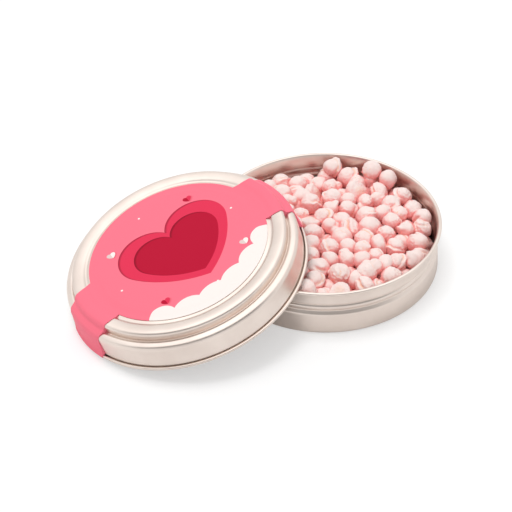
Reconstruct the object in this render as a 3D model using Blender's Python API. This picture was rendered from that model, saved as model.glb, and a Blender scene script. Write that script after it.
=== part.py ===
"""A caviar tin, open: a drawn tinplate base heaped with sugar-coated sweets, and its slip lid
leaning on the rim, with a die-cut paper seal label stuck over the lid.

Metres, +Z up. The origin is the centre of the base's foot, on the table. The lid stands off
towards -X and -Y, with its low edge on the table and its high edge over the base's rim.
"""

import math

import bmesh
import bpy
import numpy as np
from mathutils import Euler, Matrix, Vector
from mathutils.bvhtree import BVHTree
from mathutils.geometry import delaunay_2d_cdt

MM = 0.001

# Sheet, paper, and the air left between pieces that touch
SHEET = 0.3 * MM
PAPER = 0.2 * MM
GAP = 0.3 * MM
LABEL_GAP = 0.25 * MM
FILL_CLEARANCE = 0.5 * MM

# Base tin: outside sizes, and how far each band stands in or out of the upper wall
RIM_RADIUS = 56.5 * MM
BASE_HEIGHT = 25.3 * MM
RIM_ROLL_RADIUS = 0.9 * MM
RIM_ROLL_STANDOFF = 0.25 * MM
STEP_DEPTH = 0.5 * MM
STOP_BEAD_SWELL = 0.25 * MM
NECK_DEPTH = 0.7 * MM
LOWER_WALL_FLARE = 0.6 * MM
FOOT_FLARE = 1.1 * MM
FOOT_FILLET = 2.2 * MM
# Base tin: heights stacked from the table up
LOWER_WALL_HEIGHT = 11.2 * MM
NECK_RISE = 2.1 * MM
STOP_BEAD_RISE = 1.4 * MM
STOP_BEAD_WIDTH = 1.2 * MM
STEP_RISE = 0.9 * MM
STEP_WIDTH = 0.6 * MM

# Lid: the side wall's slip fit and curl, then each ring set in from the one outside it
LID_CLEARANCE = 0.35 * MM
CURL_ROLL_RADIUS = 0.8 * MM
CURL_STANDOFF = 0.05 * MM
LEDGE_INSET = 0.9 * MM
SHOULDER_INSET = 4.6 * MM
SHOULDER_FILLET = 1.7 * MM
GROOVE_WIDTH = 0.9 * MM
CREST_INSET = 3.15 * MM
CREST_WIDTH = 2.6 * MM
CHANNEL_INSET = 4.3 * MM
CHANNEL_WIDTH = 1.9 * MM
LABEL_MARGIN = 0.55 * MM
PANEL_STEP_INSET = 3.6 * MM
PANEL_STEP_WIDTH = 2.6 * MM
# Lid: heights over the underside of its curl, and drops from its highest ring
LID_HEIGHT = 18.3 * MM
CREST_FALL = 0.35 * MM
PANEL_DROP = 0.9 * MM
PANEL_CROWN = 0.35 * MM
CHANNEL_DEPTH = 0.45 * MM
LEDGE_HEIGHT = 14.3 * MM
LEDGE_FALL = 0.7 * MM
GROOVE_DEPTH = 0.8 * MM
LID_WALL_HEIGHT = 11.6 * MM

# Where the lid stands: bearing of its centre seen from the base, and how far it reaches over it
LID_BEARING = math.radians(202.0)
LID_OVERLAP = 42.65 * MM

# Seal label: a disc on the panel, with two opposite tabs
TAB_WIDTH = 29.5 * MM
TAB_BEARING = math.radians(8.0)

# Sweets: each fits a ball, and its form is shares of that ball (round body, lobe, depth of fold)
SWEET_RADIUS = 5.5 * MM
SMALLEST_SWEET_SHARE = 0.78
FOLD_WIDTH_SHARE = 0.3
SWEET_FORM_SHARES = ((0.88, 0.56, 0.06), (0.94, 0.50, 0.10), (0.84, 0.66, 0.05), (0.90, 0.52, 0.12))
# Sweets: the lower layer, with a hollow scooped out beside the back wall, and the loose top layer
FILL_SPACING = 9.8 * MM
FILL_DROP = 13.9 * MM
FILL_SHIFT_SHARE = 0.12
BALL_CAP_SHARE = 0.8
SCOOP_DEPTH = 5.5 * MM
SCOOP_WIDTH = 20.0 * MM
SCOOP_BEARING = math.radians(98.0)
HEAP_CLEARANCE = 0.4 * MM
LOOSE_SWEETS_MOST = 56
SWEET_SEED = 5

# Turns of the rolled edges, the shoulder and the label's ends, in degrees up from the radial way
RIM_ROLL_TURN = (170, -110)
CURL_TURN = (190, 470)
SHOULDER_TURN = (75, 0)
TAB_SHOULDER_TURN = (75, 25)
TAB_END_TURN = (50, 0)

# Facets
TURN_SEGMENTS = 44
ROLL_STEPS = 6
FILLET_STEPS = 3
BED_SIDES = 66
BALL_SIDES = 7
TAB_COLUMNS = 6
DISC_STEPS_BETWEEN_TABS = 16
TRIAL_PLACES_PER_SWEET = 40
SHARP_ANGLE = math.radians(40.0)

# Radii that follow from the sizes above
HALF_SHEET = SHEET / 2
HALF_PAPER = PAPER / 2
UPPER_WALL_RADIUS = RIM_RADIUS - 2 * RIM_ROLL_RADIUS - RIM_ROLL_STANDOFF
WELL_RADIUS = UPPER_WALL_RADIUS - NECK_DEPTH - SHEET - FILL_CLEARANCE
LID_WALL_RADIUS = RIM_RADIUS + LID_CLEARANCE + SHEET
SHOULDER_RADIUS = LID_WALL_RADIUS - SHOULDER_INSET
CREST_RADIUS = SHOULDER_RADIUS - CREST_INSET
CHANNEL_RADIUS = CREST_RADIUS - CHANNEL_INSET
LABEL_RADIUS = CHANNEL_RADIUS - CHANNEL_WIDTH / 2 - LABEL_MARGIN
PANEL_STEP_RADIUS = LABEL_RADIUS - PANEL_STEP_INSET
CURL_RADIUS = LID_WALL_RADIUS + CURL_STANDOFF + CURL_ROLL_RADIUS
LID_REACH = RIM_RADIUS + CURL_RADIUS - LID_OVERLAP


def arc(centre_radius, centre_height, radius, start, end, steps):
    """Points (radius, height) along an arc, its angles in degrees up from the radial direction."""
    points = []
    for step in range(steps + 1):
        angle = math.radians(start + (end - start) * step / steps)
        across = radius * math.cos(angle)
        up = radius * math.sin(angle)
        points.append((centre_radius + across, centre_height + up))
    return points


def sheet_outline(path, thickness):
    """Outline of a sheet whose middle line is path: out along its one face, back along the other."""
    line = [Vector(point) for point in path]
    steps = [(after - before).normalized() for before, after in zip(line[:-1], line[1:])]
    faces = ([], [])
    for index, point in enumerate(line):
        before = steps[max(index - 1, 0)]
        after = steps[min(index, len(steps) - 1)]
        along = (before + after).normalized()
        mitre = Vector((along.y, -along.x)) / max(along.dot(after), 0.5)
        faces[0].append(point + mitre * thickness / 2)
        faces[1].append(point - mitre * thickness / 2)
    return faces[0] + faces[1][::-1]


def closed_mesh(name, bm):
    """A smooth-shaded mesh, its faces pointing out, made from a bmesh."""
    bmesh.ops.recalc_face_normals(bm, faces=bm.faces)
    if bm.calc_volume(signed=True) < 0:
        bmesh.ops.reverse_faces(bm, faces=bm.faces)
    mesh = bpy.data.meshes.new(name)
    bm.to_mesh(mesh)
    bm.free()
    mesh.shade_smooth()
    mesh.set_sharp_from_angle(angle=SHARP_ANGLE)
    return mesh


def turned_mesh(name, path):
    """Spin a sheet, whose middle line starts on the axis, into a round drawn shell."""
    bm = bmesh.new()
    outline = sheet_outline(path, SHEET)
    verts = [bm.verts.new((radius, 0, height)) for radius, height in outline]
    edges = [bm.edges.new(pair) for pair in zip(verts[:-1], verts[1:])]
    bmesh.ops.spin(
        bm, geom=verts + edges, cent=(0, 0, 0), axis=(0, 0, 1), dvec=(0, 0, 0),
        angle=math.tau, steps=TURN_SEGMENTS, use_merge=True, use_duplicate=False,
    )
    bmesh.ops.remove_doubles(bm, verts=bm.verts, dist=SHEET / 1000)
    return closed_mesh(name, bm)


def base_path():
    """Middle line of the base's sheet, from the centre of the foot to the end of the rolled rim."""
    foot_radius = UPPER_WALL_RADIUS + FOOT_FLARE
    bead_radius = UPPER_WALL_RADIUS + STOP_BEAD_SWELL
    neck_height = LOWER_WALL_HEIGHT + NECK_RISE
    bead_low = neck_height + STOP_BEAD_RISE
    bead_high = bead_low + STOP_BEAD_WIDTH
    step_height = bead_high + STEP_RISE
    roll_radius = RIM_RADIUS - RIM_ROLL_RADIUS
    roll_height = BASE_HEIGHT - RIM_ROLL_RADIUS
    path = [(0, HALF_SHEET)]
    path += arc(foot_radius - FOOT_FILLET, FOOT_FILLET, FOOT_FILLET - HALF_SHEET, -90, 0, FILLET_STEPS)
    path += [
        (UPPER_WALL_RADIUS + LOWER_WALL_FLARE - HALF_SHEET, LOWER_WALL_HEIGHT),
        (UPPER_WALL_RADIUS - NECK_DEPTH - HALF_SHEET, neck_height),
        (bead_radius - HALF_SHEET, bead_low),
        (bead_radius - HALF_SHEET, bead_high),
        (UPPER_WALL_RADIUS - STEP_DEPTH - HALF_SHEET, step_height),
        (UPPER_WALL_RADIUS - HALF_SHEET, step_height + STEP_WIDTH),
        (UPPER_WALL_RADIUS - HALF_SHEET, BASE_HEIGHT - 2 * RIM_ROLL_RADIUS),
    ]
    path += arc(roll_radius, roll_height, RIM_ROLL_RADIUS - HALF_SHEET, *RIM_ROLL_TURN, ROLL_STEPS)
    return path


def lid_path():
    """Middle line of the lid's sheet, from the centre of its panel to the end of its curl."""
    crest = LID_HEIGHT - HALF_SHEET
    panel = crest - PANEL_DROP
    ledge = LEDGE_HEIGHT - HALF_SHEET
    ledge_edge = ledge - LEDGE_FALL
    fillet_centre = (SHOULDER_RADIUS - SHOULDER_FILLET, LID_HEIGHT - SHOULDER_FILLET)
    wall = LID_WALL_RADIUS - HALF_SHEET
    path = [
        (0, panel + PANEL_CROWN),
        (PANEL_STEP_RADIUS - PANEL_STEP_WIDTH / 2, panel + PANEL_CROWN),
        (PANEL_STEP_RADIUS + PANEL_STEP_WIDTH / 2, panel),
        (CHANNEL_RADIUS - CHANNEL_WIDTH / 2, panel),
        (CHANNEL_RADIUS, panel - CHANNEL_DEPTH),
        (CHANNEL_RADIUS + CHANNEL_WIDTH / 2, panel - CHANNEL_DEPTH / 2),
        (CREST_RADIUS - CREST_WIDTH, crest - CREST_FALL),
        (CREST_RADIUS, crest),
    ]
    path += arc(*fillet_centre, SHOULDER_FILLET - HALF_SHEET, *SHOULDER_TURN, FILLET_STEPS)
    path += [
        (SHOULDER_RADIUS - HALF_SHEET, ledge - GROOVE_DEPTH / 2),
        (SHOULDER_RADIUS + GROOVE_WIDTH / 3, ledge - GROOVE_DEPTH),
        (SHOULDER_RADIUS + GROOVE_WIDTH, ledge - LEDGE_FALL / 4),
        (SHOULDER_RADIUS + 2 * GROOVE_WIDTH, ledge),
        (wall - LEDGE_INSET, ledge_edge),
        (wall - LEDGE_INSET / 3, (ledge_edge + LID_WALL_HEIGHT) / 2),
        (wall, LID_WALL_HEIGHT),
        (wall, 2 * CURL_ROLL_RADIUS),
    ]
    path += arc(CURL_RADIUS, CURL_ROLL_RADIUS, CURL_ROLL_RADIUS - HALF_SHEET, *CURL_TURN, ROLL_STEPS)
    return path


def lid_tilt():
    """Tilt at which the curl stands on the table and also lies on the base's rim, on both sides."""
    rim_ring_radius = RIM_RADIUS - RIM_ROLL_RADIUS
    rim_ring_height = BASE_HEIGHT - RIM_ROLL_RADIUS
    stand_off = RIM_ROLL_RADIUS + CURL_ROLL_RADIUS + GAP

    def height_over_rim(tilt):
        square = (CURL_RADIUS * math.sin(tilt)) ** 2
        linear = LID_REACH * CURL_RADIUS * math.cos(tilt)
        constant = LID_REACH ** 2 + CURL_RADIUS ** 2 - rim_ring_radius ** 2
        uphill = (linear - math.sqrt(linear ** 2 + square * constant)) / square
        ring_height = CURL_ROLL_RADIUS + CURL_RADIUS * math.sin(tilt) * (1 - uphill)
        return ring_height - rim_ring_height - stand_off / math.cos(tilt)

    low = math.radians(1)
    high = math.radians(60)
    while high - low > math.radians(0.001):
        middle = (low + high) / 2
        if height_over_rim(middle) < 0:
            low = middle
        else:
            high = middle
    return high


def lid_placement():
    """Place of the lid's own frame: its origin in the middle of its mouth, its +X downhill."""
    tilt = lid_tilt()
    mouth = Vector((
        LID_REACH * math.cos(LID_BEARING),
        LID_REACH * math.sin(LID_BEARING),
        CURL_RADIUS * math.sin(tilt) + CURL_ROLL_RADIUS,
    ))
    turn = Matrix.Rotation(LID_BEARING, 4, "Z") @ Matrix.Rotation(tilt, 4, "Y")
    axis = turn @ Vector((0, 0, 1))
    return Matrix.Translation(mouth - axis * CURL_ROLL_RADIUS) @ turn


def label_disc_path():
    """Radius and height of the label's paper over the panel."""
    panel = LID_HEIGHT - PANEL_DROP + LABEL_GAP + HALF_PAPER
    return [
        (0, panel + PANEL_CROWN),
        (PANEL_STEP_RADIUS - PANEL_STEP_WIDTH / 2, panel + PANEL_CROWN),
        (PANEL_STEP_RADIUS + PANEL_STEP_WIDTH / 2, panel),
        (LABEL_RADIUS, panel),
    ]


def label_tab_path():
    """Radius and height of a tab, stretched over the shoulder, the ledge, the wall and the curl."""
    lift = LABEL_GAP + HALF_PAPER
    fillet_centre = (SHOULDER_RADIUS - SHOULDER_FILLET, LID_HEIGHT - SHOULDER_FILLET)
    wall = LID_WALL_RADIUS + lift
    path = [(CREST_RADIUS - CREST_WIDTH, LID_HEIGHT + lift)]
    path += arc(*fillet_centre, SHOULDER_FILLET + lift, *TAB_SHOULDER_TURN, FILLET_STEPS - 1)
    path += [
        (wall - LEDGE_INSET, LEDGE_HEIGHT - LEDGE_FALL + lift),
        (wall, LID_WALL_HEIGHT),
        (wall, 4 * CURL_ROLL_RADIUS),
    ]
    path += arc(CURL_RADIUS, CURL_ROLL_RADIUS, CURL_ROLL_RADIUS + lift, *TAB_END_TURN, FILLET_STEPS - 1)
    return path


def add_tab(bm, edge, bearing):
    """Carry a run of the disc's edge out along one tab, each of its columns straight."""
    outwards = Vector((math.cos(bearing), math.sin(bearing), 0))
    across = Vector((-math.sin(bearing), math.cos(bearing), 0))
    offsets = [vert.co.dot(across) for vert in edge]
    row = edge
    for radius, height in label_tab_path():
        next_row = []
        for offset in offsets:
            reach = math.sqrt(radius ** 2 - offset ** 2)
            next_row.append(bm.verts.new(outwards * reach + across * offset + Vector((0, 0, height))))
        for i in range(TAB_COLUMNS):
            bm.faces.new((row[i], next_row[i], next_row[i + 1], row[i + 1]))
        row = next_row


def label_mesh():
    """The seal label's paper, with no thickness: a disc, and two tabs that go on past its edge."""
    half_tab = math.asin(TAB_WIDTH / 2 / LABEL_RADIUS)
    angles = []
    for bearing in (TAB_BEARING, TAB_BEARING + math.pi):
        next_tab = bearing + math.pi - half_tab
        angles += np.linspace(bearing - half_tab, bearing + half_tab, TAB_COLUMNS + 1).tolist()
        angles += np.linspace(bearing + half_tab, next_tab, DISC_STEPS_BETWEEN_TABS + 1)[1:-1].tolist()
    count = len(angles)
    disc = label_disc_path()
    bm = bmesh.new()
    centre = bm.verts.new((0, 0, disc[0][1]))
    rings = []
    for radius, height in disc[1:]:
        rings.append([bm.verts.new((radius * math.cos(a), radius * math.sin(a), height)) for a in angles])
    for i in range(count):
        j = (i + 1) % count
        bm.faces.new((centre, rings[0][i], rings[0][j]))
        for inner, outer in zip(rings[:-1], rings[1:]):
            bm.faces.new((inner[i], outer[i], outer[j], inner[j]))
    for tab in range(2):
        first = tab * count // 2
        add_tab(bm, rings[-1][first:first + TAB_COLUMNS + 1], TAB_BEARING + math.pi * tab)
    bmesh.ops.recalc_face_normals(bm, faces=bm.faces)
    mesh = bpy.data.meshes.new("seal_label")
    bm.to_mesh(mesh)
    bm.free()
    mesh.shade_smooth()
    return mesh


def sunflower(count, reach):
    """Evenly spread (x, y) places in a disc."""
    index = np.arange(count)
    distance = reach * np.sqrt((index + 0.5) / count)
    angle = index * math.pi * (3 - math.sqrt(5))
    return np.stack([distance * np.cos(angle), distance * np.sin(angle)], 1)


def fill_height(places):
    """Height of the lower sweets' centres: level, with the hollow scooped beside the back wall."""
    scoop = WELL_RADIUS * np.array((math.cos(SCOOP_BEARING), math.sin(SCOOP_BEARING)))
    across = np.linalg.norm(places - scoop, axis=1)
    level = BASE_HEIGHT - FILL_DROP
    return level - SCOOP_DEPTH * np.exp(-((across / SCOOP_WIDTH) ** 2))


def fill_sweets(rng):
    """Centres and radii of the lower sweets."""
    reach = WELL_RADIUS - SWEET_RADIUS / 2
    count = round(math.pi * (reach / FILL_SPACING) ** 2)
    shift = FILL_SPACING * FILL_SHIFT_SHARE
    places = sunflower(count, reach) + rng.uniform(-shift, shift, (count, 2))
    radii = SWEET_RADIUS * rng.uniform(SMALLEST_SWEET_SHARE, 1, count)
    return np.column_stack([places, fill_height(places)]), radii


def rest_heights(places, radius, centres, radii):
    """Heights at which a ball comes to rest on the lower sweets, one for each place."""
    across = np.linalg.norm(places[:, None, :] - centres[None, :, :2], axis=2)
    reach = radius + radii + GAP
    lift = np.sqrt(np.maximum(reach ** 2 - across ** 2, 0))
    return np.where(across < reach, centres[:, 2] + lift, 0).max(axis=1)


def loose_sweets(rng, centres, radii):
    """Centre and radius of each top sweet: they take the deepest hollows of the lower layer first."""
    reach = WELL_RADIUS - SWEET_RADIUS
    trials = round(TRIAL_PLACES_PER_SWEET * (reach / SWEET_RADIUS) ** 2)
    places = sunflower(trials, reach)
    depths = rest_heights(places, SWEET_RADIUS, centres, radii) - fill_height(places)
    sizes = SWEET_RADIUS * rng.uniform(SMALLEST_SWEET_SHARE, 1, trials)
    chosen = []
    for trial in np.argsort(depths, kind="stable"):
        radius = sizes[trial]
        height = rest_heights(places[trial:trial + 1], radius, centres, radii)[0]
        centre = (*places[trial], height)
        if height + radius > BASE_HEIGHT - HEAP_CLEARANCE:
            continue
        if all(math.dist(centre, other) > radius + size + GAP for other, size in chosen):
            chosen.append((centre, radius))
        if len(chosen) == LOOSE_SWEETS_MOST:
            break
    return chosen


def bed_height(x, y, centres, radii):
    """Height of the lower layer's top at a place: the highest ball there, or the nearest centre."""
    across = np.hypot(centres[:, 0] - x, centres[:, 1] - y)
    lift = np.sqrt(np.maximum(radii ** 2 - across ** 2, 0))
    tops = np.where(across < radii, centres[:, 2] + lift, 0)
    return max(tops.max(), centres[across.argmin(), 2])


def polygon(x, y, radius, sides):
    """Corners (x, y) of a polygon on a circle."""
    turns = [math.tau * side / sides for side in range(sides)]
    return [Vector((x + radius * math.cos(turn), y + radius * math.sin(turn))) for turn in turns]


def bed_mesh(centres, radii):
    """The lower sweets joined in one solid: a round plug whose top is the caps of the balls."""
    places = polygon(0, 0, WELL_RADIUS, BED_SIDES)
    border = [(side, (side + 1) % BED_SIDES) for side in range(BED_SIDES)]
    for (x, y, _), radius in zip(centres, radii):
        cap = [Vector((x, y))] + polygon(x, y, radius * BALL_CAP_SHARE, BALL_SIDES)
        places += [place for place in cap if place.length < WELL_RADIUS - GAP]
    flat, _, faces, _, _, _ = delaunay_2d_cdt(places, border, [], 1, GAP)
    bm = bmesh.new()
    verts = [bm.verts.new((x, y, bed_height(x, y, centres, radii))) for x, y in flat]
    for face in faces:
        bm.faces.new([verts[index] for index in face])
    rim = [edge for edge in bm.edges if edge.is_boundary]
    side = bmesh.ops.extrude_edge_only(bm, edges=rim)["geom"]
    foot = [item for item in side if isinstance(item, bmesh.types.BMEdge)]
    for vert in {vert for edge in foot for vert in edge.verts}:
        vert.co.z = SHEET + GAP
    bmesh.ops.edgeloop_fill(bm, edges=foot)
    return closed_mesh("sweets_bed", bm)


def ball_reach(way, centre, radius):
    """How far a ball that holds the origin reaches from it in one direction."""
    along = way.dot(centre)
    return along + math.sqrt(along ** 2 - centre.length_squared + radius ** 2)


def sweet_mesh(name, body, lobe, fold):
    """One form of sweet inside a ball of radius 1: a round body, a lobe on one side and a fold."""
    bm = bmesh.new()
    bmesh.ops.create_icosphere(bm, subdivisions=2, radius=1)
    for vert in bm.verts:
        way = vert.co.normalized()
        body_reach = ball_reach(way, Vector((body - 1, 0, 0)), body)
        lobe_reach = ball_reach(way, Vector((1 - lobe, 0, 0)), lobe)
        across_fold = (2 * way.y - way.x) / math.sqrt(5)
        groove = fold * math.exp(-((across_fold / FOLD_WIDTH_SHARE) ** 2))
        vert.co = way * (max(body_reach, lobe_reach) - groove)
    return closed_mesh(name, bm)


def surface(item):
    """An object's surface in world space, for tests of touch."""
    verts = [item.matrix_world @ vert.co for vert in item.data.vertices]
    return BVHTree.FromPolygons(verts, [tuple(face.vertices) for face in item.data.polygons])


def settle(sweet, others):
    """Lift or lower a sweet until it lies one gap above what is under it."""
    step = GAP / 4
    verts = [sweet.matrix_world @ vert.co for vert in sweet.data.vertices]
    faces = [tuple(face.vertices) for face in sweet.data.polygons]

    def touches(shift):
        for height in (shift, shift - GAP):
            moved = [vert + Vector((0, 0, height)) for vert in verts]
            own = BVHTree.FromPolygons(moved, faces)
            if any(own.overlap(other) for other in others):
                return True
        return False

    shift = 0
    while touches(shift):
        shift += step
    while not touches(shift - step):
        shift -= step
    sweet.location.z += shift
    bpy.context.view_layer.update()


def material(name, colour, roughness, metallic=0.0):
    """A Principled material of one linear colour."""
    made = bpy.data.materials.new(name)
    made.use_nodes = True
    shader = made.node_tree.nodes["Principled BSDF"]
    shader.inputs["Base Color"].default_value = (*colour, 1)
    shader.inputs["Roughness"].default_value = roughness
    shader.inputs["Metallic"].default_value = metallic
    return made


def add_object(name, mesh, finish, parent=None):
    """Link an object made of a mesh, with its material, under a parent."""
    if not mesh.materials:
        mesh.materials.append(finish)
    made = bpy.data.objects.new(name, mesh)
    bpy.context.scene.collection.objects.link(made)
    made.parent = parent
    return made


def build_tin():
    """The base on the table, the lid leaning on it, and the label on the lid."""
    tinplate = material("tinplate", (0.68, 0.62, 0.58), 0.32, 1.0)
    paper = material("printed_paper", (1.0, 0.22, 0.30), 0.55)
    add_object("base_tin", turned_mesh("base_tin", base_path()), tinplate)
    lid = add_object("lid", turned_mesh("lid", lid_path()), tinplate)
    place, turn, _ = lid_placement().decompose()
    lid.location = place
    lid.rotation_mode = "QUATERNION"
    lid.rotation_quaternion = turn
    label = add_object("seal_label", label_mesh(), paper, parent=lid)
    thickness = label.modifiers.new("Paper thickness", "SOLIDIFY")
    thickness.thickness = PAPER
    thickness.offset = 0


def build_sweets():
    """The bed of lower sweets, and the loose sweets that lie in its hollows."""
    rng = np.random.default_rng(SWEET_SEED)
    sugar = material("pink_sugar", (0.98, 0.72, 0.68), 0.75)
    centres, radii = fill_sweets(rng)
    bed = add_object("sweets_bed", bed_mesh(centres, radii), sugar)
    surfaces = [surface(bed)]
    forms = []
    for index, shares in enumerate(SWEET_FORM_SHARES):
        forms.append(sweet_mesh(f"sweet_form_{index + 1}", *shares))
    for index, (centre, radius) in enumerate(loose_sweets(rng, centres, radii)):
        sweet = add_object(f"loose_sweet_{index + 1:02d}", forms[index % len(forms)], sugar)
        sweet.location = centre
        sweet.rotation_euler = Euler(rng.uniform(0, math.tau, 3))
        sweet.scale = (radius, radius, radius)
        bpy.context.view_layer.update()
        settle(sweet, surfaces)
        surfaces.append(surface(sweet))


def build():
    """Clear the scene and make every piece of the tin."""
    for old in list(bpy.data.objects):
        bpy.data.objects.remove(old, do_unlink=True)
    build_tin()
    build_sweets()


build()
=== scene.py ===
"""A round slip-lid tin full of sugared sweets, its lid leaning on its rim, dressed over a CAD frame."""

import math

import bpy
import numpy as np
from mathutils import Matrix, Vector, noise


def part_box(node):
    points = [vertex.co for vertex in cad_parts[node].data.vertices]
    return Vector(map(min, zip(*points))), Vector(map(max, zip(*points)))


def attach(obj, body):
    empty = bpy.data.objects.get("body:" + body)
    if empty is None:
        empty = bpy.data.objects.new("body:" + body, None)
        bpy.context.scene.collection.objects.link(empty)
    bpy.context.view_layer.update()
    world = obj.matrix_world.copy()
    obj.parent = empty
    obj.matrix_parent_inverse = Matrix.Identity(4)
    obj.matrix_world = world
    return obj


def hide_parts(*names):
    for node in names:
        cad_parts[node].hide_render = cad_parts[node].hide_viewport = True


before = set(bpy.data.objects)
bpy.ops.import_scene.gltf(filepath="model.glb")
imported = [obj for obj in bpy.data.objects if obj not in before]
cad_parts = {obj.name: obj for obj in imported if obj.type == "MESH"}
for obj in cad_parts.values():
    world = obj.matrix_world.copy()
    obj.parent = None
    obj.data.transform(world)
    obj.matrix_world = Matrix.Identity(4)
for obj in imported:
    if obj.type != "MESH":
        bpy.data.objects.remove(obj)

bl_info = {
    "name": "Sweet Tin",
    "version": (1, 0, 0),
    "blender": (4, 5, 0),
    "location": "View3D > Sidebar > Sweet Tin",
    "description": "A round slip-lid tin full of sugared sweets, with a paper label stuck over its lid",
    "category": "Object",
}

MM = 0.001
LOOSE_SWEETS = sorted(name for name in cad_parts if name.startswith("loose_sweet_"))

# Points nearer than this are one point
MERGE = 0.001 * MM
# Turn in degrees, up from level, at which the lid's round shoulder starts
SHOULDER_START = 75
# Steps in each side of a tab, and how far out the die reaches as a share of where the tab ends
TAB_STEPS = 8
TAB_OVERRUN = 1.3
# How much of an overlap one push takes away from a sweet
PUSH_SHARE = 0.4
# How far off a loose sweet still sets the height of the heap
HEAP_BLUR = 9 * MM
# A distance and a nearness too small to matter, which keep divisions from failing
HAIR = 1e-9
FAINT = 1e-12
# How far off a sweet still shelters a face in the painted shade, and how far out of the axis and how softly
# the wall joins in
SHELTER_REACH = 22 * MM
WALL_SHELTER = 46 * MM
WALL_BLUR = 2 * MM
# What the wall takes from a face that looks at it, and what is taken from a face that looks down, in the
# painted shade that makes sides and undersides pinker
WALL_SHARE = 0.6
TILT_SHARE = 0.22
# Where the bright part of the sky sets in, as the height of a direction of length 1
OVERHEAD = (0.55, 0.85)
# Where the dark wall sets in and ends in height, and where it sets in towards the near side
DARK_FOOT = (0.1, 0.3)
DARK_TOP = (0.55, 0.75)
DARK_SIDE = (-0.2, -0.6)


def length(name, millimetres, description):
    """A length as a property that a user can change, in Blender's metres."""
    return bpy.props.FloatProperty(
        name=name, description=description, default=millimetres * MM, precision=5, unit="LENGTH"
    )


def spot(name, millimetres, description):
    """A place in the frame as a property that a user can change."""
    return bpy.props.FloatVectorProperty(
        name=name, description=description, default=[MM * step for step in millimetres], precision=5,
        subtype="TRANSLATION"
    )


def tab_widths(name, millimetres):
    """The half widths of one side of a tab as a property that a user can change."""
    return bpy.props.FloatVectorProperty(
        name=name, description="Half width at the disc, at the shoulder and at the end",
        default=[MM * width for width in millimetres], precision=5, unit="LENGTH"
    )


def share(name, value, description):
    """A plain number as a property that a user can change."""
    return bpy.props.FloatProperty(name=name, description=description, default=value, precision=3)


def angle(name, degrees, description):
    """An angle as a property that a user can change."""
    return bpy.props.FloatProperty(
        name=name, description=description, default=math.radians(degrees), subtype="ANGLE", unit="ROTATION"
    )


def count(name, value, description):
    """A whole number as a property that a user can change."""
    return bpy.props.IntProperty(name=name, description=description, default=value, min=1)


def group(kind, name, description):
    """A property group as a property of the whole tin."""
    return bpy.props.PointerProperty(type=kind, name=name, description=description)


def paint(red, green, blue):
    """The linear colour of three screen values from 0 to 255."""
    screen = (red / 255, green / 255, blue / 255)
    return tuple(c / 12.92 if c <= 0.04045 else ((c + 0.055) / 1.055) ** 2.4 for c in screen)


def colour(name, screen, description):
    """A colour, given by its screen values, as a property that a user can change."""
    return bpy.props.FloatVectorProperty(
        name=name, description=description, default=paint(*screen), min=0, max=1, size=3, subtype="COLOR"
    )


class SheetSizes(bpy.types.PropertyGroup):
    """What the base and the lid have in common."""

    sheet: length("Sheet", 0.3, "Thickness of the tinplate")
    soft_reach: length("Bend", 0.55, "How far a pressed bend reaches to either side of its corner")
    segments: count("Segments", 192, "Steps in a full turn")
    bend_steps: count("Bend steps", 4, "Steps in each pressed bend")
    roll_steps: count("Roll steps", 20, "Steps in a rolled edge")
    sharp: angle("Sharp edges", 45, "Edges bent more than this stay sharp")


class BaseSizes(bpy.types.PropertyGroup):
    """The drawn base: each height is over the table."""

    rim_radius: length("Rim radius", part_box("base_tin")[1].x / MM, "Outer radius of the rolled rim")
    height: length("Height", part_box("base_tin")[1].z / MM, "Height of the rolled rim's top")
    rim_roll: length("Rim roll", 0.9, "Radius of the rolled rim's tube")
    rim_standoff: length("Rim stand-off", 0.25, "From the upper wall to the rolled rim")
    step_depth: length("Step depth", 0.5, "Depth of the step over the stop bead")
    bead_swell: length("Stop bead swell", 0.25, "How far the stop bead stands out of the upper wall")
    neck_depth: length("Neck depth", 0.7, "Depth of the neck under the stop bead")
    wall_flare: length("Lower wall flare", 0.6, "How far the lower wall's top stands out")
    foot_flare: length("Foot flare", 1.1, "How far the foot stands out")
    foot_fillet: length("Foot fillet", 2.2, "Radius of the rounded foot")
    lower_wall: length("Lower wall height", 11.2, "Height of the lower wall's top")
    neck_rise: length("Neck rise", 2.1, "From the lower wall's top up to the neck")
    bead_rise: length("Stop bead rise", 1.4, "From the neck up to the stop bead")
    bead_width: length("Stop bead width", 1.2, "Height of the stop bead's flat")
    step_rise: length("Step rise", 0.9, "From the stop bead up to the step")
    step_width: length("Step width", 0.6, "From the step up to the upper wall")


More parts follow.
